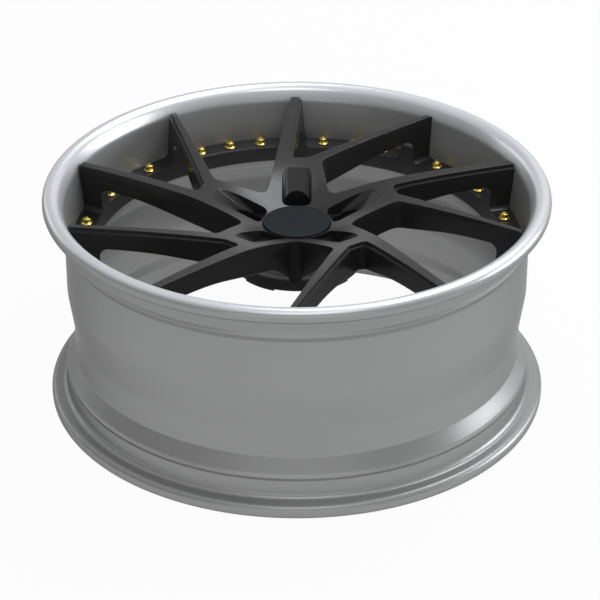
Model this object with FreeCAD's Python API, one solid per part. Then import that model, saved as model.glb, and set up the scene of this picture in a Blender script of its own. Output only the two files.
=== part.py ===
"""Two-piece forged car wheel: a one-piece rim, a ten-spoke centre disc bolted inside it, and a centre cap.

Millimetres. The origin is the centre of the hub mounting face, +Z runs along the wheel's axis
towards the outboard face, and one arm of the centre disc points along +Y.
"""
import FreeCAD, Part
import math
import os
from FreeCAD import Vector

os.makedirs("parts", exist_ok=True)

# Rim
bead_seat_diameter = 512.8
rim_width = 215.9
offset = 30.0
flange_height = 17.5
flange_thickness = 15.8
flange_edge_radius = 6.5
lip_crest_radius = 8.0
bead_heel_radius = 6.5
bead_seat_width = 20.0
bead_seat_taper = 5.0
hump_height = 1.3
hump_width = 4.0
hump_fall = 8.0
barrel_drop = 4.8
barrel_length = 64.0
well_drop = 11.0
well_ramp = 44.0
inboard_ramp = 20.0
barrel_wall = 5.0
seat_wall = 6.3
inside_blend = 13.0
lip_roll_width = 11.5
lip_roll_depth = 16.0
lip_roll_rise = 3.2
lip_wall_taper = 7.9
rest_width = 6.0
rest_recess = 4.0

# Joint between the centre disc and the rim
seat_drop = 79.4
disc_clearance = 0.3
mount_flange_width = 19.0
mount_flange_thickness = 10.0
ring_width = 23.9
ring_thickness = 17.8
ring_root_fillet = 8.0
ring_edge_chamfer = 1.5
ring_edge_angle = 26.0
post_angle = 91.5

# Assembly bolts
bays = 10
bolts_per_bay = 3
bolt_pitch = 9.0
bolt_radius = 3.5
bolt_hole_clearance = 0.25
bolt_thread_clearance = 0.1
bolt_flange_radius = 6.45
bolt_flange_height = 1.7
bolt_neck_radius = 4.1
bolt_neck_height = 0.7
bolt_head_radius = 4.8
bolt_head_height = 3.9
bolt_nub_radius = 2.3
bolt_nub_height = 1.5
bolt_end_gap = 1.0

# Hub
arms = 5
hub_bore_radius = 33.3
hub_bore_length = 22.0
hub_chamfer = 1.5
pad_radius = 70.4
pad_height = 19.0
pad_relief_depth = 2.7
pad_relief_angle = 41.4
pad_relief_inner_radius = 46.0
bolt_circle_diameter = 112.0
lug_hole_radius = 7.5
lug_hole_length = 7.0
lug_seat_radius = 13.0
lug_seat_angle = 30.0
lug_socket_radius = 14.5
lug_pocket_width = 32.3
lug_pocket_start = 38.0
lug_pocket_depth = 8.0
lug_ramp_end_radius = 94.5
lug_ramp_angle = 36.5
lug_ramp_fillet = 6.5

# Centre cap
cap_radius = 36.4
cap_thickness = 3.2
cap_clearance = 0.2
cap_bore_radius = 35.0
cap_skirt_wall = 2.4
cap_skirt_length = 11.0
cap_bead = 0.7
cap_bead_height = 2.5
cap_fingers = 6
cap_finger_gap = 8.0
cap_land = 1.0
cap_rise = 1.5

# Face of the centre disc: depth below the rim's lip at each radius
hub_face_drop = 43.2
dish_radius = 68.5
dish_drop = 31.9
dish_rounding = 230.0
crown_radius = 107.9
crown_drop = 20.5
crown_rounding = 280.0
spoke_mid_radius = 178.0
spoke_mid_drop = 14.2
spoke_mid_rounding = 1200.0
tip_drop = 10.9
tip_edge_radius = 3.0

# Back of the centre disc: depth below the rim's lip at each radius
throat_radius = 88.0
throat_drop = 57.0
back_mid_radius = 172.0
back_mid_drop = 37.6
back_tip_drop = 33.5
back_rounding = 300.0
back_fillet = 9.0
back_undercut = 3.0

# Spoke edges on the face, as root radius, root angle and tip angle measured from the arm's own line
radial_outer_edge = (87.1, 19.3, 1.5)
radial_inner_edge = (123.4, 3.25, -0.7)
swept_inner_edge = (114.2, -8.3, -36.9)
swept_outer_edge = (122.2, -19.65, -38.2)
hub_side_radius = 74.5
hub_side_angle = -26.0
hub_side_end_radius = 105.0
hub_side_end_angle = -15.3
slot_end_radius = 110.9

# Window walls
wall_draft = 10.0
back_draft = 4.0
slot_draft = 6.0
tier_inner_radius = 71.2
tier_inner_drop = 51.3
tier_mid_radius = 140.0
tier_mid_drop = 33.5
tier_outer_radius = 246.5
tier_outer_drop = 24.4
tier_rounding = 150.0
tier_recess = 1.5
ledge_depth = 4.2
ledge_width = 3.0
hub_corner_radius = 15.0
well_corner_radius = 9.0
swept_corner_radius = 11.0
swept_well_radius = 13.0
slot_corner_radius = 6.0
post_foot_fillet = 7.0
window_floor = 12.0
window_reach = 1.3

# Valve hole
valve_hole_radius = 5.65
valve_angle = 90.0
valve_drop = 106.0

# Derived sizes
bead_radius = bead_seat_diameter / 2
rim_radius = bead_radius + flange_height
lip_z = rim_width / 2 + flange_thickness - offset
rest_z = -(rim_width / 2 + flange_thickness + offset)
barrel_radius = bead_radius - barrel_drop
well_radius = bead_radius - well_drop
seat_z = lip_z - seat_drop
floor_z = seat_z + ring_thickness
seat_bore_radius = barrel_radius - seat_wall
ring_outer_radius = seat_bore_radius - disc_clearance
ring_inner_radius = ring_outer_radius - ring_width
mount_flange_z = seat_z - mount_flange_thickness
mount_flange_radius = seat_bore_radius - mount_flange_width
bolt_circle_radius = (ring_inner_radius + ring_outer_radius) / 2
tip_z = lip_z - tip_drop
lip_slope = math.tan(math.radians(lip_wall_taper))
tip_radius = ring_outer_radius + (tip_z - floor_z) * lip_slope
arm_step = 360.0 / arms
cap_top = lip_z - hub_face_drop
cap_seat_z = cap_top - cap_thickness
lug_radius = bolt_circle_diameter / 2
above_lip = lip_z + 10.0
face_corners = [
    (cap_radius + cap_clearance + cap_land, cap_top - cap_rise, 0),
    (dish_radius, lip_z - dish_drop, dish_rounding),
    (crown_radius, lip_z - crown_drop, crown_rounding),
    (spoke_mid_radius, lip_z - spoke_mid_drop, spoke_mid_rounding),
    (tip_radius, tip_z, tip_edge_radius),
]


def polar(radius, degrees, z=0.0):
    """Point at a radius and an angle about the wheel's axis."""
    angle = math.radians(degrees)
    return Vector(radius * math.cos(angle), radius * math.sin(angle), z)


def rounded_edges(corners, closed=True):
    """Lines and arcs through (radius, z, rounding) corners in the XZ plane."""
    points = [Vector(corner[0], 0, corner[1]) for corner in corners]
    count = len(corners)
    stretches = []
    for i, corner in enumerate(corners):
        rounding = corner[2] if len(corner) > 2 else 0
        inner = closed or 0 < i < count - 1
        if not rounding or not inner:
            stretches.append([points[i]])
            continue
        before = (points[i - 1] - points[i]).normalize()
        after = (points[(i + 1) % count] - points[i]).normalize()
        half = before.getAngle(after) / 2
        bisector = (before + after).normalize()
        middle = points[i] + bisector * (rounding / math.sin(half) - rounding)
        tangent = rounding / math.tan(half)
        stretches.append([points[i] + before * tangent, middle, points[i] + after * tangent])
    edges = []
    for i, stretch in enumerate(stretches):
        if len(stretch) == 3:
            edges.append(Part.Arc(*stretch).toShape())
        if closed or i + 1 < count:
            start = stretch[-1]
            end = stretches[(i + 1) % count][0]
            if start.distanceToPoint(end) > 1e-6:
                edges.append(Part.makeLine(start, end))
    return edges


def revolved(edges):
    """Solid of revolution about Z of a closed chain of edges."""
    face = Part.Face(Part.Wire(edges))
    return face.revolve(Vector(0, 0, 0), Vector(0, 0, 1), 360)


def turned(shape, degrees):
    """Copy of a shape turned about Z."""
    copy = shape.copy()
    copy.rotate(Vector(0, 0, 0), Vector(0, 0, 1), degrees)
    return copy


def around(shape, count, start=0.0):
    """Evenly spaced copies of a shape about Z."""
    return [turned(shape, start + 360.0 * k / count) for k in range(count)]


def face_height(radius):
    """Height of the disc's face at a radius, along straight runs between its points."""
    for (r0, z0, _), (r1, z1, _) in zip(face_corners, face_corners[1:]):
        if radius <= r1:
            break
    return z0 + (z1 - z0) * (radius - r0) / (r1 - r0)


def tier_height(radius):
    """Height of the crease along the window walls at a radius, along straight runs."""
    end_radius = tier_inner_radius if radius < tier_mid_radius else tier_outer_radius
    end_drop = tier_inner_drop if radius < tier_mid_radius else tier_outer_drop
    share = (radius - tier_mid_radius) / (end_radius - tier_mid_radius)
    return lip_z - tier_mid_drop + (tier_mid_drop - end_drop) * share


def spoke_edge(edge, turn=0.0):
    """Root and tip points of a spoke's edge, for the arm along +Y turned by an angle."""
    root_radius, root_angle, tip_angle = edge
    return polar(root_radius, 90 + root_angle + turn), polar(tip_radius, 90 + tip_angle + turn)


def crossing(first, second):
    """Point in plan where two lines meet, each given by two points."""
    p, q = first
    s, t = second
    d = q - p
    e = t - s
    share = ((s.x - p.x) * e.y - (s.y - p.y) * e.x) / (d.x * e.y - d.y * e.x)
    return Vector(p.x + d.x * share, p.y + d.y * share, 0)


def beyond(edge):
    """Point past a spoke's tip on the line of its edge."""
    root, tip = edge
    return root + (tip - root) * window_reach


def on_face(points):
    """Plan points lifted to the disc's face."""
    return [Vector(p.x, p.y, face_height(math.hypot(p.x, p.y))) for p in points]


def section(outline, draft, z):
    """Corners at height z of drafted walls that pass through an outline, narrower further down."""
    slope = math.tan(math.radians(draft))
    walls = []
    for p, q in zip(outline, outline[1:] + outline[:1]):
        inward = Vector(p.y - q.y, q.x - p.x, 0).normalize()
        walls.append((p + inward * slope * (p.z - z), q + inward * slope * (q.z - z)))
    corners = [crossing(walls[i - 1], walls[i]) for i in range(len(walls))]
    return [Vector(c.x, c.y, z) for c in corners]


def tier_outline(outline):
    """Outline where the drafted walls reach the crease."""
    corners = []
    for i, point in enumerate(outline):
        corner = point
        for _ in range(6):
            z = tier_height(math.hypot(corner.x, corner.y))
            corner = section(outline, wall_draft, z)[i]
        corners.append(corner)
    return corners


def widened(outline, margin):
    """Outline with its walls moved outward in plan by a margin."""
    walls = []
    for p, q in zip(outline, outline[1:] + outline[:1]):
        outward = Vector(q.y - p.y, p.x - q.x, 0).normalize()
        walls.append((p + outward * margin, q + outward * margin))
    corners = [crossing(walls[i - 1], walls[i]) for i in range(len(walls))]
    return [Vector(c.x, c.y, p.z) for c, p in zip(corners, outline)]


def cutter(outline, draft, low, high, corner_radii, foot=0.0):
    """Drafted window cutter with rounded corners, and a rounded foot where one is given."""
    lower = section(outline, draft, low)
    upper = section(outline, draft, high)
    faces = [Part.Face(Part.makePolygon(ring + ring[:1])) for ring in (lower[::-1], upper)]
    count = len(outline)
    for i in range(count):
        j = (i + 1) % count
        faces.append(Part.Face(Part.makePolygon([lower[i], lower[j], upper[j], upper[i], lower[i]])))
    solid = Part.makeSolid(Part.makeShell(faces))
    for i, radius in corner_radii.items():
        edge = nearest_edge(solid, (lower[i] + upper[i]) / 2)
        solid = solid.makeFillet(radius, [edge])
    if foot:
        sides = [edge for edge in solid.Edges if max(v.Z for v in edge.Vertexes) < low + 1e-6]
        outer = [edge for edge in sides if math.hypot(*edge.CenterOfMass[:2]) > tip_radius]
        solid = solid.makeFillet(foot, [edge for edge in sides if not edge_in(edge, outer)])
    return solid


def nearest_edge(solid, point):
    """Edge of a solid whose middle is nearest to a point."""
    return min(solid.Edges, key=lambda edge: edge.CenterOfMass.distanceToPoint(point))


def edge_in(edge, others):
    """Whether an edge is one of the others."""
    return any(edge.isSame(other) for other in others)


def zone_above(edges, radius):
    """Solid of revolution above a chain of edges that runs out from the axis to a radius."""
    start = edges[0].Vertexes[0].Point
    end = edges[-1].Vertexes[-1].Point
    frame = [end, Vector(radius, 0, end.z), Vector(radius, 0, above_lip), Vector(0, 0, above_lip),
             Vector(0, 0, start.z), start]
    sides = [Part.makeLine(a, b) for a, b in zip(frame, frame[1:]) if a.distanceToPoint(b) > 1e-6]
    return revolved(edges + sides)


def make_rim():
    """Barrel, bead seats, flanges, rolled lip and the inner flange that carries the disc."""
    outboard_face = lip_z - flange_thickness
    inboard_face = rest_z + flange_thickness
    seat_fall = bead_seat_width * math.tan(math.radians(bead_seat_taper))
    hump_radius = bead_radius - seat_fall + hump_height
    outboard_hump = outboard_face - bead_seat_width - hump_width
    inboard_hump = inboard_face + bead_seat_width + hump_width
    barrel_top = outboard_hump - hump_fall
    barrel_end = barrel_top - barrel_length
    well_bottom = inboard_hump + inboard_ramp
    lip_wall_z = lip_z - lip_roll_depth
    lip_wall_radius = seat_bore_radius + (lip_wall_z - floor_z) * lip_slope
    foot_inner = rim_radius - flange_edge_radius - rest_width
    bead_inner_radius = bead_radius - seat_fall - barrel_wall
    corners = [
        (rim_radius, lip_z, lip_crest_radius),
        (rim_radius, outboard_face, flange_edge_radius),
        (bead_radius, outboard_face, bead_heel_radius),
        (bead_radius - seat_fall, outboard_face - bead_seat_width, hump_width),
        (hump_radius, outboard_hump, hump_width / 2),
        (barrel_radius, barrel_top, hump_fall),
        (barrel_radius, barrel_end, well_ramp),
        (well_radius, barrel_end - well_ramp, well_ramp),
        (well_radius, well_bottom, hump_width),
        (hump_radius - hump_height, inboard_hump + hump_width, hump_width / 2),
        (hump_radius, inboard_hump, hump_width / 2),
        (bead_radius - seat_fall, inboard_face + bead_seat_width, hump_width),
        (bead_radius, inboard_face, bead_heel_radius),
        (rim_radius, inboard_face, flange_edge_radius),
        (rim_radius, rest_z, flange_edge_radius),
        (foot_inner, rest_z, hump_width),
        (bead_inner_radius, inboard_face - rest_recess, inside_blend),
        (bead_inner_radius, inboard_hump, inside_blend),
        (well_radius - barrel_wall, well_bottom, inside_blend),
        (well_radius - barrel_wall, barrel_end - well_ramp, well_ramp),
        (barrel_radius - barrel_wall, barrel_end, well_ramp),
        (barrel_radius - barrel_wall, mount_flange_z, hump_width),
        (mount_flange_radius, mount_flange_z, hub_chamfer),
        (mount_flange_radius, seat_z, hub_chamfer),
        (seat_bore_radius, seat_z),
        (seat_bore_radius, floor_z, ring_root_fillet),
        (lip_wall_radius, lip_wall_z, lip_roll_depth),
        (lip_wall_radius + lip_roll_width / 2, lip_z - lip_roll_rise, lip_roll_width),
        (lip_wall_radius + lip_roll_width, lip_z, lip_roll_width / 2),
    ]
    rim = revolved(rounded_edges(corners))
    tapped_hole = Part.makeCylinder(bolt_radius + bolt_thread_clearance, mount_flange_thickness,
                                    Vector(0, 0, mount_flange_z))
    holes = [tapped_hole.translated(place) for place in bolt_places()]
    valve_centre = Vector(0, 0, lip_z - valve_drop)
    valve_hole = Part.makeCylinder(valve_hole_radius, rim_radius, valve_centre, polar(1, valve_angle))
    return rim.cut(holes + [valve_hole])


def bolt_places():
    """Centres in plan of the assembly bolts, grouped in the bays between the posts."""
    bay_step = 360.0 / bays
    first = post_angle - bay_step / 2 - bolt_pitch * (bolts_per_bay - 1) / 2
    angles = [first + bay_step * bay + bolt_pitch * k for bay in range(bays) for k in range(bolts_per_bay)]
    return [polar(bolt_circle_radius, angle) for angle in angles]


def disc_blank():
    """Turned forging of the centre disc, before its windows and pockets are milled."""
    groove_top = cap_seat_z - cap_skirt_length + cap_bead_height + cap_bead
    groove_low = groove_top - cap_bead_height - 2 * cap_bead
    corners = face_corners[::-1] + [
        (cap_radius + cap_clearance, cap_top - cap_rise - cap_land / 2),
        (cap_radius + cap_clearance, cap_seat_z),
        (cap_bore_radius, cap_seat_z),
        (cap_bore_radius, groove_top),
        (cap_bore_radius + cap_bead, groove_top - cap_bead),
        (cap_bore_radius + cap_bead, groove_low + cap_bead),
        (cap_bore_radius, groove_low),
        (cap_bore_radius, hub_bore_length + cap_bore_radius - hub_bore_radius),
        (hub_bore_radius, hub_bore_length),
        (hub_bore_radius, hub_chamfer),
        (hub_bore_radius + hub_chamfer, 0),
        (pad_radius, 0, hub_chamfer),
        (pad_radius, pad_height, pad_height / 2),
        (throat_radius, lip_z - throat_drop, pad_height),
        (back_mid_radius, lip_z - back_mid_drop, back_rounding),
        (ring_inner_radius + back_undercut, lip_z - back_tip_drop, back_fillet),
        (ring_inner_radius, seat_z, hub_chamfer / 2),
        (ring_outer_radius, seat_z, hub_chamfer / 2),
        (ring_outer_radius, floor_z, ring_root_fillet),
    ]
    return revolved(rounded_edges(corners))


def deep_window_cutters():
    """Wide window between a swept spoke and the next arm's radial spoke: face, pocket and hub well."""
    swept = spoke_edge(swept_outer_edge)
    radial = spoke_edge(radial_outer_edge, -arm_step)
    hub_side = (polar(hub_side_radius, 90 + hub_side_angle),
                polar(hub_side_end_radius, 90 + hub_side_end_angle))
    outline = on_face([crossing(radial, hub_side), beyond(radial), beyond(swept), crossing(hub_side, swept)])
    tier_line = [(r, tier_height(r), tier_rounding) for r in (0, tier_mid_radius, tip_radius)]
    tier_zone = zone_above(rounded_edges(tier_line, closed=False), window_reach * tip_radius)
    corner_radii = {0: hub_corner_radius, 3: swept_corner_radius}
    upper = cutter(outline, wall_draft, floor_z, above_lip, corner_radii).common(tier_zone)
    crease = widened(tier_outline(outline), tier_recess)
    pocket_radii = {0: well_corner_radius, 3: swept_well_radius}
    pocket_top = above_lip - back_mid_drop / 2
    pocket = cutter(crease, back_draft, floor_z, pocket_top, pocket_radii, post_foot_fillet)
    well = cutter(crease, back_draft, window_floor, floor_z + 2 * post_foot_fillet, pocket_radii)
    inside = Part.makeCylinder(ring_inner_radius - back_fillet, above_lip, Vector(0, 0, 0))
    return [upper, pocket, well.common(inside)]


def slot_window_cutters():
    """Narrow window inside an arm, between its two spokes, with a stepped ledge along its edge."""
    radial = spoke_edge(radial_inner_edge)
    swept = spoke_edge(swept_inner_edge)
    slot_end = (Vector(-1, slot_end_radius, 0), Vector(1, slot_end_radius, 0))
    outline = on_face([crossing(swept, slot_end), beyond(swept), beyond(radial), crossing(radial, slot_end)])
    ledge_line = [(r, z - ledge_depth, rounding) for r, z, rounding in face_corners]
    ledge_zone = zone_above(rounded_edges(ledge_line, closed=False), window_reach * tip_radius)
    corner_radii = {0: slot_corner_radius, 3: slot_corner_radius}
    ledge = cutter(outline, slot_draft, floor_z, above_lip, corner_radii).common(ledge_zone)
    step_draft = math.degrees(math.atan(ledge_width / ledge_depth))
    inner = [section(outline, step_draft, point.z - ledge_depth)[i] for i, point in enumerate(outline)]
    pocket = cutter(inner, slot_draft, floor_z, above_lip, corner_radii, post_foot_fillet)
    return [ledge, pocket]


def lug_pocket_cutters():
    """Lug hole, cone seat, socket bore, and the pocket with its floor near the cap and its sloped ramp."""
    place = polar(lug_radius, 90)
    up = Vector(0, 0, 1)
    seat_rise = (lug_seat_radius - lug_hole_radius) / math.tan(math.radians(lug_seat_angle))
    seat_top = lug_hole_length + seat_rise
    hole = Part.makeCylinder(lug_hole_radius, lip_z, place, up)
    cone = Part.makeCone(lug_hole_radius, lug_seat_radius, seat_rise, place + up * lug_hole_length, up)
    socket = Part.makeCylinder(lug_socket_radius, above_lip, place + up * seat_top, up)
    width = lug_pocket_width / 2
    floor_corners = [(-width, lug_pocket_start, lug_ramp_fillet), (width, lug_pocket_start, lug_ramp_fillet),
                     (width, lug_radius), (-width, lug_radius)]
    pocket_floor = Part.Face(Part.Wire(rounded_edges(floor_corners)))
    pocket_floor.rotate(Vector(0, 0, 0), Vector(1, 0, 0), -90)
    pocket_floor.translate(up * (cap_top - lug_pocket_depth))
    pocket = pocket_floor.extrude(up * above_lip)
    corners = [(-width, above_lip), (-width, 0, lug_ramp_fillet),
               (width, 0, lug_ramp_fillet), (width, above_lip)]
    ramp_profile = Part.Face(Part.Wire(rounded_edges(corners)))
    ramp_length = 2 * (lug_ramp_end_radius - lug_radius)
    ramp = ramp_profile.extrude(Vector(0, -ramp_length, 0))
    ramp.rotate(Vector(0, 0, 0), Vector(1, 0, 0), lug_ramp_angle)
    ramp.translate(Vector(0, lug_ramp_end_radius, face_height(lug_ramp_end_radius)))
    keep = Part.makeBox(4 * width, 2 * lug_ramp_end_radius, 2 * above_lip,
                        Vector(-2 * width, lug_radius, -above_lip / 2))
    return [hole, cone, socket, pocket, ramp.common(keep)]


def pad_relief():
    """Shallow relief in the hub pad, between two lug holes."""
    low = Vector(0, 0, -hub_chamfer)
    depth = pad_relief_depth + hub_chamfer
    sector = Part.makeCylinder(pad_radius + hub_chamfer, depth, low, Vector(0, 0, 1), pad_relief_angle)
    core = Part.makeCylinder(pad_relief_inner_radius, depth, low)
    return turned(sector.cut(core), 90 + arm_step / 2 - pad_relief_angle / 2)


def ring_edge_cutter():
    """Chamfer along the top inner edge of the ring, in the bay before the first post."""
    rise = (floor_z - seat_z) / (lip_z - back_tip_drop - seat_z)
    edge_radius = ring_inner_radius + back_undercut * rise
    size = 2 * ring_edge_chamfer
    points = [Vector(edge_radius - ring_edge_chamfer, 0, floor_z - size),
              Vector(edge_radius + size, 0, floor_z + ring_edge_chamfer),
              Vector(edge_radius - ring_edge_chamfer, 0, floor_z + ring_edge_chamfer)]
    wedge = Part.Face(Part.makePolygon(points + points[:1]))
    sector = wedge.revolve(Vector(0, 0, 0), Vector(0, 0, 1), ring_edge_angle)
    return turned(sector, post_angle - 180.0 / bays - ring_edge_angle / 2)


def make_centre_disc():
    """Forged centre: hub, five forked arms, and the outer ring on its ten posts."""
    cutters = []
    for tool in deep_window_cutters() + slot_window_cutters() + lug_pocket_cutters() + [pad_relief()]:
        cutters += around(tool, arms)
    cutters += around(ring_edge_cutter(), bays)
    bolt_hole = Part.makeCylinder(bolt_radius + bolt_hole_clearance, ring_thickness, Vector(0, 0, seat_z))
    cutters += [bolt_hole.translated(place) for place in bolt_places()]
    return disc_blank().cut(cutters)


def make_centre_cap():
    """Flat cap with spring fingers that snap into the groove of the disc's cap bore."""
    skirt = cap_bore_radius - cap_clearance
    low = cap_seat_z - cap_skirt_length
    section_corners = [
        (0, cap_top),
        (cap_radius, cap_top, cap_land / 2),
        (cap_radius, cap_seat_z),
        (skirt, cap_seat_z),
        (skirt, low + cap_bead_height + cap_bead),
        (skirt + cap_bead, low + cap_bead_height),
        (skirt + cap_bead, low + cap_bead),
        (skirt, low),
        (skirt - cap_skirt_wall, low),
        (skirt - cap_skirt_wall, cap_seat_z),
        (0, cap_seat_z),
    ]
    cap = revolved(rounded_edges(section_corners))
    gap = Part.makeBox(cap_radius, cap_finger_gap, cap_skirt_length, Vector(0, -cap_finger_gap / 2, low))
    return cap.cut(around(gap, cap_fingers))


def make_assembly_bolts():
    """Flanged bolts that go through the disc's ring into the rim's inner flange, all alike."""
    flange_top = floor_z + bolt_flange_height
    neck_top = flange_top + bolt_neck_height
    head_top = neck_top + bolt_head_height
    end = mount_flange_z + bolt_end_gap
    corners = [
        (0, end),
        (bolt_radius, end),
        (bolt_radius, floor_z),
        (bolt_flange_radius, floor_z),
        (bolt_flange_radius, flange_top - bolt_neck_height),
        (bolt_neck_radius, flange_top),
        (bolt_neck_radius, neck_top),
        (bolt_head_radius, neck_top + bolt_neck_height),
        (bolt_head_radius, head_top - bolt_neck_height),
        (bolt_nub_radius, head_top),
        (bolt_nub_radius, head_top + bolt_nub_height),
        (0, head_top + bolt_nub_height),
    ]
    bolt = revolved(rounded_edges(corners))
    return Part.makeCompound([bolt.translated(place) for place in bolt_places()])


make_rim().exportStep("parts/rim.step")
make_centre_disc().exportStep("parts/centre_disc.step")
make_centre_cap().exportStep("parts/centre_cap.step")
make_assembly_bolts().exportStep("parts/assembly_bolts.step")
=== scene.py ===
import math
import bmesh
import bpy
from mathutils import Matrix, Vector


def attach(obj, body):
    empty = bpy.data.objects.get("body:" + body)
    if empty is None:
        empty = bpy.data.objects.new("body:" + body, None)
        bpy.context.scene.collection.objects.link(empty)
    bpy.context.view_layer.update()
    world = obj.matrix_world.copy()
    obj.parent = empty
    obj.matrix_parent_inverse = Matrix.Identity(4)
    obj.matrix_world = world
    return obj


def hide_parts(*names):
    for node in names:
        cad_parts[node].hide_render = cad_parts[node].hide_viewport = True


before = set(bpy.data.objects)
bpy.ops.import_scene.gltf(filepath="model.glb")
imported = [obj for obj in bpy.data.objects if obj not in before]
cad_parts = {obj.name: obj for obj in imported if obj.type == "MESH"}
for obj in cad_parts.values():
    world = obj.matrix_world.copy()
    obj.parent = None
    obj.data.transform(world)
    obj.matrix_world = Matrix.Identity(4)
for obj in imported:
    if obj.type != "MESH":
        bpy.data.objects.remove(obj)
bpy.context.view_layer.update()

MM = 0.001

# Rim, in millimetres
bead_radius = 256.4
rim_radius = 273.9
lip_z = 93.75
rest_z = -153.75
flange_thickness = 15.8
flange_edge_radius = 6.5
lip_crest_radius = 8.0
bead_heel_radius = 6.5
bead_seat_width = 20.0
bead_seat_taper = 5.0
hump_height = 1.3
hump_width = 4.0
hump_fall = 8.0
barrel_drop = 4.8
barrel_length = 64.0
well_drop = 11.0
well_ramp = 44.0
inboard_ramp = 20.0
barrel_wall = 5.0
seat_wall = 6.3
inside_blend = 13.0
lip_roll_width = 11.5
lip_roll_depth = 16.0
lip_roll_rise = 3.2
lip_wall_taper = 7.9
rest_width = 6.0
rest_recess = 4.0
valve_hole_radius = 5.65
valve_drop = 106.0
valve_drill_length = 24.0

# Joint between the centre disc and the rim, in millimetres
seat_drop = 79.4
disc_clearance = 0.3
ring_width = 23.9
ring_thickness = 17.8
ring_root_fillet = 8.0
mount_flange_width = 19.0
mount_flange_thickness = 10.0
edge_break = 1.5

# Assembly bolts, in millimetres and degrees
bays = 10
bolts_per_bay = 3
bolt_pitch = 9.0
post_angle = 91.5
bolt_radius = 3.5
bolt_flange_radius = 6.45
bolt_flange_height = 1.7
bolt_flange_chamfer = 0.2
bolt_flange_rim = 0.8
bolt_flange_round = 0.25
bolt_neck_radius = 4.1
bolt_neck_height = 0.7
bolt_neck_flare = 0.5
bolt_neck_fillet = 0.3
bolt_head_radius = 4.8
bolt_head_height = 3.9
bolt_head_points = 12
bolt_head_foot = 0.15
bolt_head_foot_share = 0.94
bolt_head_flank_start = 0.5
bolt_head_flank_end = 0.6
bolt_head_shoulder = 0.25
bolt_head_shoulder_share = 0.95
bolt_head_land_share = 0.78
bolt_head_turn = 40.107
bolt_nub_radius = 2.3
bolt_nub_height = 1.5
bolt_nub_foot = 0.35
bolt_nub_fillet = 0.3
bolt_nub_chamfer = 0.4
bolt_end_gap = 1.0
bolt_thread_length = 8.0
thread_pitch = 1.0
thread_depth = 0.45

# Fineness of the turned pieces
rim_segments = 288
drill_segments = 48
bolt_segments = 48
thread_rows = 40
arc_step = 7.0
longest_run = 9.0
sharp_angle = 32.0

# Colours of the finishes, which vary between a dark and a light
silver_dark = (0.315, 0.317, 0.317)
silver_light = (0.355, 0.357, 0.357)
# Lip colour: the polished lip's own silver, lightened with painted sheen in place of its bright reflections
lip_silver_and_painted_sheen = (0.7, 0.712, 0.745)
coat_dark = (0.013, 0.013, 0.0137)
coat_light = (0.018, 0.018, 0.0188)
cap_dark = (0.007, 0.0095, 0.012)
cap_light = (0.009, 0.0125, 0.016)
gold_dark = (0.74, 0.56, 0.1)
gold_light = (0.9, 0.74, 0.22)

# Where the polished lip's lighter colour, partly painted sheen, fades in, in millimetres below the lip,
# and where it fades out, in millimetres from the rim's edge
lip_fade_start = 19.75
lip_fade_end = 5.75
edge_fade_start = 3.4
edge_fade_end = 0.1

# Studio, in metres
floor_half = 8.0
floor_grey = 0.5
floor_glow = 0.96
world_level = 0.17
world_top = 0.68
cool_white = (0.97, 0.985, 1.0)
sky_white = (0.96, 0.98, 1.0)

# Camera: the photograph's viewing angle
image_size = 600
focal_px = 2457.2
sensor_width = 36.0
camera_elevation = 29.69
camera_distance = 2.7163
target_z = -0.0481
object_shift_px = 3.18

# Derived sizes
barrel_radius = bead_radius - barrel_drop
well_radius = bead_radius - well_drop
seat_z = lip_z - seat_drop
floor_z = seat_z + ring_thickness
seat_bore_radius = barrel_radius - seat_wall
ring_outer_radius = seat_bore_radius - disc_clearance
ring_inner_radius = ring_outer_radius - ring_width
mount_flange_z = seat_z - mount_flange_thickness
mount_flange_radius = seat_bore_radius - mount_flange_width
bolt_circle_radius = (ring_inner_radius + ring_outer_radius) / 2
bolt_angles = [2 * math.pi * k / bolt_segments for k in range(bolt_segments)]


def rounded(corners):
    """Closed outline through (radius, z, rounding) corners, with arcs and long runs divided."""
    points = [Vector((c[0], c[1])) for c in corners]
    outline = []
    for i, corner in enumerate(corners):
        rounding = corner[2] if len(corner) > 2 else 0
        if not rounding:
            outline.append(points[i])
            continue
        before = (points[i - 1] - points[i]).normalized()
        after = (points[(i + 1) % len(points)] - points[i]).normalized()
        half = before.angle(after) / 2
        tangent = rounding / math.tan(half)
        centre = points[i] + (before + after).normalized() * (rounding / math.sin(half))
        start = points[i] + before * tangent - centre
        turn = start.angle_signed(points[i] + after * tangent - centre)
        steps = max(2, math.ceil(abs(math.degrees(turn)) / arc_step))
        for k in range(steps + 1):
            outline.append(centre + Matrix.Rotation(-turn * k / steps, 2) @ start)
    return divided(outline)


def divided(outline):
    """Closed outline with each long straight run cut into shorter ones."""
    result = []
    for p, q in zip(outline, outline[1:] + outline[:1]):
        parts = max(1, math.ceil((q - p).length / longest_run))
        result += [p.lerp(q, k / parts) for k in range(parts)]
    return result


def mesh_object(name, mesh_data):
    """Object of a mesh, in the scene."""
    made = bpy.data.objects.new(name, mesh_data)
    bpy.context.scene.collection.objects.link(made)
    return made


def from_bmesh(name, bm):
    """Smooth-shaded object of a bmesh, with its sharp edges kept sharp."""
    bmesh.ops.recalc_face_normals(bm, faces=bm.faces)
    data = bpy.data.meshes.new(name)
    bm.to_mesh(data)
    bm.free()
    return mesh_object(name, smooth(data))


def smooth(data):
    """Mesh shaded smooth up to the sharp angle."""
    data.polygons.foreach_set("use_smooth", [True] * len(data.polygons))
    data.set_sharp_from_angle(angle=math.radians(sharp_angle))
    return data


def lathe(bm, outline, segments):
    """Faces of a closed outline in (radius, z) millimetres turned about Z."""
    rings = []
    for k in range(segments):
        angle = 2 * math.pi * k / segments
        turn = Vector((math.cos(angle), math.sin(angle), 0))
        rings.append([bm.verts.new((turn * p.x + Vector((0, 0, p.y))) * MM) for p in outline])
    count = len(outline)
    for ring, after in zip(rings, rings[1:] + rings[:1]):
        for i in range(count):
            j = (i + 1) % count
            bm.faces.new((ring[i], after[i], after[j], ring[j]))


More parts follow.
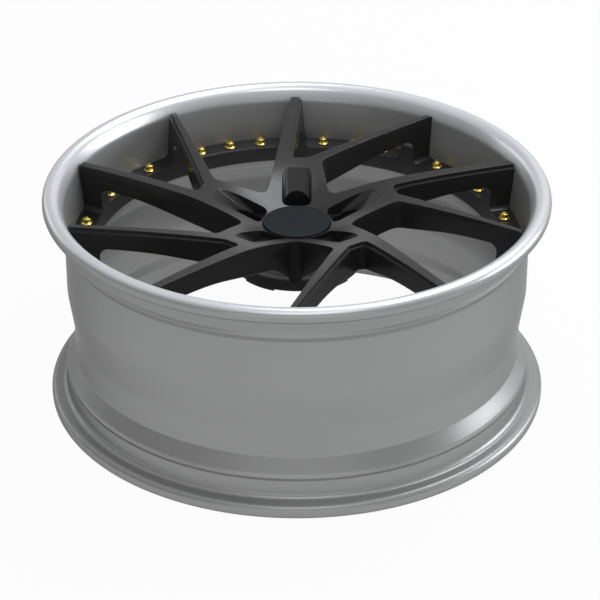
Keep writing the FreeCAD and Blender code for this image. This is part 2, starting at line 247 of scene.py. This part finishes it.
def applied(piece):
    """Piece with its modifiers made part of its mesh."""
    graph = bpy.context.evaluated_depsgraph_get()
    data = bpy.data.meshes.new_from_object(piece.evaluated_get(graph))
    piece.modifiers.clear()
    piece.data = data
    return piece


def rim_outline():
    """Section of the rim: seats, humps, drop centre, flanges, lip and inner flange."""
    outboard_face = lip_z - flange_thickness
    inboard_face = rest_z + flange_thickness
    seat_fall = bead_seat_width * math.tan(math.radians(bead_seat_taper))
    hump_radius = bead_radius - seat_fall + hump_height
    outboard_hump = outboard_face - bead_seat_width - hump_width
    inboard_hump = inboard_face + bead_seat_width + hump_width
    barrel_top = outboard_hump - hump_fall
    barrel_end = barrel_top - barrel_length
    well_bottom = inboard_hump + inboard_ramp
    lip_wall_z = lip_z - lip_roll_depth
    lip_slope = math.tan(math.radians(lip_wall_taper))
    lip_wall_radius = seat_bore_radius + (lip_wall_z - floor_z) * lip_slope
    foot_inner = rim_radius - flange_edge_radius - rest_width
    bead_inner_radius = bead_radius - seat_fall - barrel_wall
    return rounded([
        (rim_radius, lip_z, lip_crest_radius),
        (rim_radius, outboard_face, flange_edge_radius),
        (bead_radius, outboard_face, bead_heel_radius),
        (bead_radius - seat_fall, outboard_face - bead_seat_width, hump_width),
        (hump_radius, outboard_hump, hump_width / 2),
        (barrel_radius, barrel_top, hump_fall),
        (barrel_radius, barrel_end, well_ramp),
        (well_radius, barrel_end - well_ramp, well_ramp),
        (well_radius, well_bottom, hump_width),
        (hump_radius - hump_height, inboard_hump + hump_width, hump_width / 2),
        (hump_radius, inboard_hump, hump_width / 2),
        (bead_radius - seat_fall, inboard_face + bead_seat_width, hump_width),
        (bead_radius, inboard_face, bead_heel_radius),
        (rim_radius, inboard_face, flange_edge_radius),
        (rim_radius, rest_z, flange_edge_radius),
        (foot_inner, rest_z, hump_width),
        (bead_inner_radius, inboard_face - rest_recess, inside_blend),
        (bead_inner_radius, inboard_hump, inside_blend),
        (well_radius - barrel_wall, well_bottom, inside_blend),
        (well_radius - barrel_wall, barrel_end - well_ramp, well_ramp),
        (barrel_radius - barrel_wall, barrel_end, well_ramp),
        (barrel_radius - barrel_wall, mount_flange_z, hump_width),
        (mount_flange_radius, mount_flange_z, edge_break),
        (mount_flange_radius, seat_z, edge_break),
        (seat_bore_radius, seat_z),
        (seat_bore_radius, floor_z, ring_root_fillet),
        (lip_wall_radius, lip_wall_z, lip_roll_depth),
        (lip_wall_radius + lip_roll_width / 2, lip_z - lip_roll_rise, lip_roll_width),
        (lip_wall_radius + lip_roll_width, lip_z, lip_roll_width / 2),
    ])


def make_rim():
    """Turned rim with its valve hole."""
    bm = bmesh.new()
    lathe(bm, rim_outline(), rim_segments)
    rim = from_bmesh("rim_turned", bm)
    drill = bmesh.new()
    place = Matrix.Translation((0, barrel_radius * MM, (lip_z - valve_drop) * MM))
    bmesh.ops.create_cone(drill, cap_ends=True, segments=drill_segments, radius1=valve_hole_radius * MM,
                          radius2=valve_hole_radius * MM, depth=valve_drill_length * MM,
                          matrix=place @ Matrix.Rotation(math.pi / 2, 4, "X"))
    cutter = from_bmesh("valve_drill", drill)
    cut = rim.modifiers.new("valve", "BOOLEAN")
    cut.object = cutter
    cut.solver = "EXACT"
    applied(rim)
    bpy.data.objects.remove(cutter)
    smooth(rim.data)
    return rim


def bolt_places():
    """Centres in plan of the assembly bolts, in metres."""
    bay_step = 360.0 / bays
    first = post_angle - bay_step / 2 - bolt_pitch * (bolts_per_bay - 1) / 2
    angles = [first + bay_step * bay + bolt_pitch * k for bay in range(bays) for k in range(bolts_per_bay)]
    first_place = Vector((bolt_circle_radius * MM, 0, 0))
    return [Matrix.Rotation(math.radians(angle), 4, "Z") @ first_place for angle in angles]


def ring_of(bm, radii, z):
    """Ring of a bolt's vertices at a height, one for each radius."""
    ring = []
    for angle, radius in zip(bolt_angles, radii):
        ring.append(bm.verts.new(Vector((radius * math.cos(angle), radius * math.sin(angle), z)) * MM))
    return ring


def skin(bm, rings):
    """Faces between neighbouring rings, closed at both ends."""
    for low, high in zip(rings, rings[1:]):
        count = len(low)
        for k in range(count):
            j = (k + 1) % count
            bm.faces.new((low[k], low[j], high[j], high[k]))
    bm.faces.new(rings[0][::-1])
    bm.faces.new(rings[-1])


def star_radius(angle, outer):
    """Radius at an angle of a head made of two crossed hexagons."""
    step = 2 * math.pi / bolt_head_points
    apart = abs((angle + step / 2) % step - step / 2)
    flat = outer * math.cos(math.pi / 6)
    return flat / math.cos(math.pi / 6 - apart)


def thread_radius(angle, rise):
    """Radius of the thread at an angle and a height above the bolt's end."""
    share = (rise / thread_pitch - angle / (2 * math.pi)) % 1.0
    return bolt_radius - thread_depth * abs(2 * share - 1)


def one_bolt():
    """Flanged bolt with a twelve-point head, a small nub and a threaded end."""
    flange_top = floor_z + bolt_flange_height
    neck_top = flange_top + bolt_neck_height
    head_top = neck_top + bolt_head_height
    nub_top = head_top + bolt_nub_height
    end = mount_flange_z + bolt_end_gap
    bm = bmesh.new()
    rings = [ring_of(bm, [bolt_radius - thread_depth] * bolt_segments, end)]
    for k in range(thread_rows + 1):
        rise = thread_depth + bolt_thread_length * k / thread_rows
        rings.append(ring_of(bm, [thread_radius(angle, rise) for angle in bolt_angles], end + rise))
    shank = [
        (bolt_radius, end + bolt_thread_length + thread_pitch),
        (bolt_radius, floor_z),
        (bolt_flange_radius - bolt_flange_chamfer, floor_z),
        (bolt_flange_radius, floor_z + bolt_flange_chamfer),
        (bolt_flange_radius, floor_z + bolt_flange_rim),
        (bolt_flange_radius - bolt_flange_round, floor_z + bolt_flange_rim + bolt_flange_round),
        (bolt_neck_radius + bolt_neck_flare, flange_top),
        (bolt_neck_radius, flange_top + bolt_neck_fillet),
        (bolt_neck_radius, neck_top),
    ]
    for radius, z in shank:
        rings.append(ring_of(bm, [radius] * bolt_segments, z))
    head = [
        (bolt_head_foot_share, neck_top + bolt_head_foot),
        (1.0, neck_top + bolt_head_flank_start),
        (1.0, head_top - bolt_head_flank_end),
        (bolt_head_shoulder_share, head_top - bolt_head_shoulder),
    ]
    for share, z in head:
        rings.append(ring_of(bm, [star_radius(angle, bolt_head_radius * share) for angle in bolt_angles], z))
    top = [
        (bolt_head_radius * bolt_head_land_share, head_top),
        (bolt_nub_radius + bolt_nub_foot, head_top),
        (bolt_nub_radius, head_top + bolt_nub_fillet),
        (bolt_nub_radius, nub_top - bolt_nub_chamfer),
        (bolt_nub_radius - bolt_nub_chamfer, nub_top),
    ]
    for radius, z in top:
        rings.append(ring_of(bm, [radius] * bolt_segments, z))
    skin(bm, rings)
    return bm


def make_bolts():
    """All the assembly bolts as one piece."""
    single = one_bolt()
    template = bpy.data.meshes.new("bolt")
    single.to_mesh(template)
    single.free()
    bm = bmesh.new()
    for k, place in enumerate(bolt_places()):
        before = len(bm.verts)
        bm.from_mesh(template)
        bm.verts.ensure_lookup_table()
        spin = Matrix.Translation(place) @ Matrix.Rotation(math.radians(k * bolt_head_turn), 4, "Z")
        bmesh.ops.transform(bm, matrix=spin, verts=bm.verts[before:])
    bpy.data.meshes.remove(template)
    return from_bmesh("bolts_fine", bm)


def add(tree, kind, settings=None, inputs=None):
    """New node with its settings and input values."""
    made = tree.nodes.new(kind)
    for name, value in (settings or {}).items():
        setattr(made, name, value)
    for name, value in (inputs or {}).items():
        made.inputs[name].default_value = value
    return made


def new_material(name):
    """Material with an empty node tree, its shader and its output."""
    made = bpy.data.materials.new(name)
    made.use_nodes = True
    tree = made.node_tree
    tree.nodes.clear()
    shader = add(tree, "ShaderNodeBsdfPrincipled")
    output = add(tree, "ShaderNodeOutputMaterial")
    tree.links.new(shader.outputs["BSDF"], output.inputs["Surface"])
    return made, tree, shader


def noise(tree, vector, scale, detail):
    """Noise over a vector."""
    made = add(tree, "ShaderNodeTexNoise", inputs={"Scale": scale, "Detail": detail})
    tree.links.new(vector, made.inputs["Vector"])
    return made.outputs["Fac"]


def ranged(tree, value, low, high, to_low, to_high):
    """Value mapped from one range to another."""
    made = add(tree, "ShaderNodeMapRange", inputs={"From Min": low, "From Max": high,
                                                   "To Min": to_low, "To Max": to_high})
    tree.links.new(value, made.inputs["Value"])
    return made.outputs["Result"]


def blended(tree, factor, first, second):
    """Colour between two, by a factor, each a socket or three numbers."""
    made = add(tree, "ShaderNodeMix", {"data_type": "RGBA"})
    tree.links.new(factor, made.inputs["Factor"])
    for name, value in (("A", first), ("B", second)):
        socket = [entry for entry in made.inputs if entry.name == name and entry.type == "RGBA"][0]
        if isinstance(value, tuple):
            socket.default_value = (*value, 1)
        else:
            tree.links.new(value, socket)
    return [entry for entry in made.outputs if entry.type == "RGBA"][0]


def maths(tree, operation, first, second):
    """Sum, product or other operation on two values, either a socket or a number."""
    made = add(tree, "ShaderNodeMath", {"operation": operation})
    for i, value in enumerate((first, second)):
        if isinstance(value, (int, float)):
            made.inputs[i].default_value = value
        else:
            tree.links.new(value, made.inputs[i])
    return made.outputs["Value"]


def bumped(tree, shader, height, strength, distance, edge=0.0):
    """Fine relief on a shader, with its sharp edges softened over a small radius where one is given."""
    made = add(tree, "ShaderNodeBump", inputs={"Strength": strength, "Distance": distance})
    tree.links.new(height, made.inputs["Height"])
    tree.links.new(made.outputs["Normal"], shader.inputs["Normal"])
    if edge:
        soft = add(tree, "ShaderNodeBevel", {"samples": 8}, {"Radius": edge})
        tree.links.new(soft.outputs["Normal"], made.inputs["Normal"])


def object_coords(tree):
    """Place on the object, as a vector."""
    return add(tree, "ShaderNodeTexCoord").outputs["Object"]


def radius_and_height(tree, coords):
    """Distance from the wheel's axis and height of a place on the object."""
    split = add(tree, "ShaderNodeSeparateXYZ")
    tree.links.new(coords, split.inputs["Vector"])
    flat = add(tree, "ShaderNodeCombineXYZ")
    tree.links.new(split.outputs["X"], flat.inputs["X"])
    tree.links.new(split.outputs["Y"], flat.inputs["Y"])
    length = add(tree, "ShaderNodeVectorMath", {"operation": "LENGTH"})
    tree.links.new(flat.outputs["Vector"], length.inputs[0])
    return length.outputs["Value"], split.outputs["Z"]


def rim_finish():
    """Satin silver with fine turning marks, smoother along the polished lip and lighter there, partly by
    painted sheen.
    """
    made, tree, shader = new_material("satin_silver")
    coords = object_coords(tree)
    radius, z = radius_and_height(tree, coords)
    across = add(tree, "ShaderNodeCombineXYZ")
    tree.links.new(radius, across.inputs["X"])
    tree.links.new(z, across.inputs["Y"])
    marks = noise(tree, across.outputs["Vector"], 900.0, 2.0)
    flakes = noise(tree, coords, 1600.0, 2.0)
    clouds = noise(tree, coords, 9.0, 3.0)
    mottle = maths(tree, "ADD", maths(tree, "MULTIPLY", flakes, 0.5), maths(tree, "MULTIPLY", clouds, 0.5))
    above = ranged(tree, z, (lip_z - lip_fade_start) * MM, (lip_z - lip_fade_end) * MM, 0.0, 1.0)
    edge_start = (rim_radius - edge_fade_start) * MM
    edge_end = (rim_radius - edge_fade_end) * MM
    within = ranged(tree, radius, edge_start, edge_end, 1.0, 0.0)
    # Lip mask: real smoother polish, and the lip's lighter colour, which is partly painted sheen
    lip = maths(tree, "MULTIPLY", above, within)
    body = blended(tree, mottle, silver_dark, silver_light)
    # Lighter lip colour blended in here: partly the polished lip's own silver, partly painted sheen
    tree.links.new(blended(tree, lip, body, lip_silver_and_painted_sheen), shader.inputs["Base Color"])
    shader.inputs["Metallic"].default_value = 0.55
    rough = ranged(tree, maths(tree, "ADD", marks, clouds), 0.5, 1.5, 0.31, 0.39)
    polish = maths(tree, "MULTIPLY", lip, -0.06)
    tree.links.new(maths(tree, "ADD", rough, polish), shader.inputs["Roughness"])
    shader.inputs["Specular IOR Level"].default_value = 0.08
    shader.inputs["Specular Tint"].default_value = (0.2, 0.2, 0.2, 1)
    bumped(tree, shader, marks, strength=0.05, distance=0.0002)
    return made


def coating():
    """Satin black coating with a fine grain."""
    made, tree, shader = new_material("satin_black")
    coords = object_coords(tree)
    grain = noise(tree, coords, 1100.0, 2.0)
    clouds = noise(tree, coords, 14.0, 4.0)
    tree.links.new(blended(tree, clouds, coat_dark, coat_light), shader.inputs["Base Color"])
    rough = ranged(tree, maths(tree, "ADD", grain, clouds), 0.5, 1.5, 0.22, 0.29)
    tree.links.new(rough, shader.inputs["Roughness"])
    shader.inputs["Specular IOR Level"].default_value = 0.38
    bumped(tree, shader, grain, strength=0.08, distance=0.0003, edge=0.0009)
    return made


def cap_plastic():
    """Matt black plastic with a fine moulded grain."""
    made, tree, shader = new_material("cap_matt")
    coords = object_coords(tree)
    grain = noise(tree, coords, 1500.0, 3.0)
    clouds = noise(tree, coords, 30.0, 3.0)
    tree.links.new(blended(tree, clouds, cap_dark, cap_light), shader.inputs["Base Color"])
    tree.links.new(ranged(tree, grain, 0.3, 0.7, 0.5, 0.6), shader.inputs["Roughness"])
    shader.inputs["Specular IOR Level"].default_value = 0.1
    bumped(tree, shader, grain, strength=0.2, distance=0.0002, edge=0.0006)
    return made


def gold():
    """Polished gold plating with faint wear."""
    made, tree, shader = new_material("gold_plate")
    coords = object_coords(tree)
    wear = noise(tree, coords, 420.0, 4.0)
    tree.links.new(blended(tree, wear, gold_dark, gold_light), shader.inputs["Base Color"])
    tree.links.new(ranged(tree, wear, 0.3, 0.7, 0.14, 0.26), shader.inputs["Roughness"])
    shader.inputs["Metallic"].default_value = 1.0
    return made


def dress(piece, finish):
    """Piece with one finish all over."""
    piece.data.materials.clear()
    piece.data.materials.append(finish)


def place_piece(piece, node, finish):
    """Piece that stands for a node and takes its slot's finish."""
    dress(piece, finish)
    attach(piece, "root")
    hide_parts(node)


def seen_directly(tree):
    """One for rays that show the background itself: from the camera, in gloss or through glass."""
    rays = add(tree, "ShaderNodeLightPath")
    both = maths(tree, "MAXIMUM", rays.outputs["Is Camera Ray"], rays.outputs["Is Glossy Ray"])
    return maths(tree, "MAXIMUM", both, rays.outputs["Is Transmission Ray"])


def make_floor():
    """Plain white floor that keeps a faint shadow."""
    bm = bmesh.new()
    signs = ((-1, -1), (1, -1), (1, 1), (-1, 1))
    bm.faces.new([bm.verts.new((x * floor_half, y * floor_half, rest_z * MM)) for x, y in signs])
    floor = from_bmesh("floor", bm)
    made = bpy.data.materials.new("floor_white")
    made.use_nodes = True
    tree = made.node_tree
    tree.nodes.clear()
    matt = add(tree, "ShaderNodeBsdfDiffuse", inputs={"Color": (floor_grey, floor_grey, floor_grey, 1)})
    glow = add(tree, "ShaderNodeEmission", inputs={"Color": (1, 1, 1, 1), "Strength": 1.0})
    mix = add(tree, "ShaderNodeMixShader")
    output = add(tree, "ShaderNodeOutputMaterial")
    share = maths(tree, "MULTIPLY", seen_directly(tree), floor_glow)
    tree.links.new(share, mix.inputs["Fac"])
    tree.links.new(matt.outputs["BSDF"], mix.inputs[1])
    tree.links.new(glow.outputs["Emission"], mix.inputs[2])
    tree.links.new(mix.outputs["Shader"], output.inputs["Surface"])
    floor.data.materials.append(made)


def make_world():
    """Pale surroundings, brighter overhead."""
    world = bpy.data.worlds.new("studio")
    bpy.context.scene.world = world
    world.use_nodes = True
    tree = world.node_tree
    tree.nodes.clear()
    split = add(tree, "ShaderNodeSeparateXYZ")
    tree.links.new(add(tree, "ShaderNodeTexCoord").outputs["Generated"], split.inputs["Vector"])
    back = add(tree, "ShaderNodeBackground", inputs={"Color": (1, 1, 1, 1)})
    output = add(tree, "ShaderNodeOutputWorld")
    strength = ranged(tree, split.outputs["Z"], 0.0, 1.0, world_level, world_top)
    tree.links.new(strength, back.inputs["Strength"])
    tree.links.new(back.outputs["Background"], output.inputs["Surface"])


def softbox(name, place, width, height, power, colour=(1, 1, 1)):
    """Area lamp that faces the wheel."""
    data = bpy.data.lights.new(name, "AREA")
    data.shape = "RECTANGLE"
    data.size = width
    data.size_y = height
    data.energy = power
    data.color = colour
    made = bpy.data.objects.new(name, data)
    bpy.context.scene.collection.objects.link(made)
    made.location = place
    made.rotation_euler = (Vector((0, 0, 0)) - Vector(place)).to_track_quat("-Z", "Y").to_euler()


def make_camera():
    """Camera at the photograph's angle and framing."""
    data = bpy.data.cameras.new("camera")
    data.sensor_width = sensor_width
    data.lens = focal_px / image_size * sensor_width
    data.shift_x = object_shift_px / image_size
    made = bpy.data.objects.new("camera", data)
    bpy.context.scene.collection.objects.link(made)
    tilt = math.radians(camera_elevation)
    back = Vector((0, -math.cos(tilt), math.sin(tilt)))
    made.location = Vector((0, 0, target_z)) + back * camera_distance
    made.rotation_euler = back.to_track_quat("Z", "Y").to_euler()
    bpy.context.scene.camera = made


make_camera()
place_piece(make_rim(), "rim", rim_finish())
place_piece(make_bolts(), "assembly_bolts", gold())
dress(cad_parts["centre_disc"], coating())
dress(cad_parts["centre_cap"], cap_plastic())
make_floor()
make_world()
softbox("softbox_top", (0.8, 0.82, 2.08), 1.7, 1.3, 40.0, cool_white)
softbox("softbox_front", (0.0, -2.7, 0.35), 3.0, 0.7, 8.0)
softbox("softbox_front_high", (0.2, -1.8, 2.5), 1.6, 1.2, 13.0)
softbox("softbox_right", (2.4, 0.1, 0.5), 1.0, 0.8, 12.0, cool_white)
softbox("softbox_right_back", (2.35, 0.75, 0.55), 1.2, 1.0, 18.0, sky_white)
softbox("softbox_left_back", (-2.2, 1.8, 0.7), 1.6, 1.0, 7.0, sky_white)
softbox("softbox_back", (0.0, 3.4, 0.8), 5.0, 1.2, 11.0)
bpy.context.scene.view_settings.view_transform = "Standard"
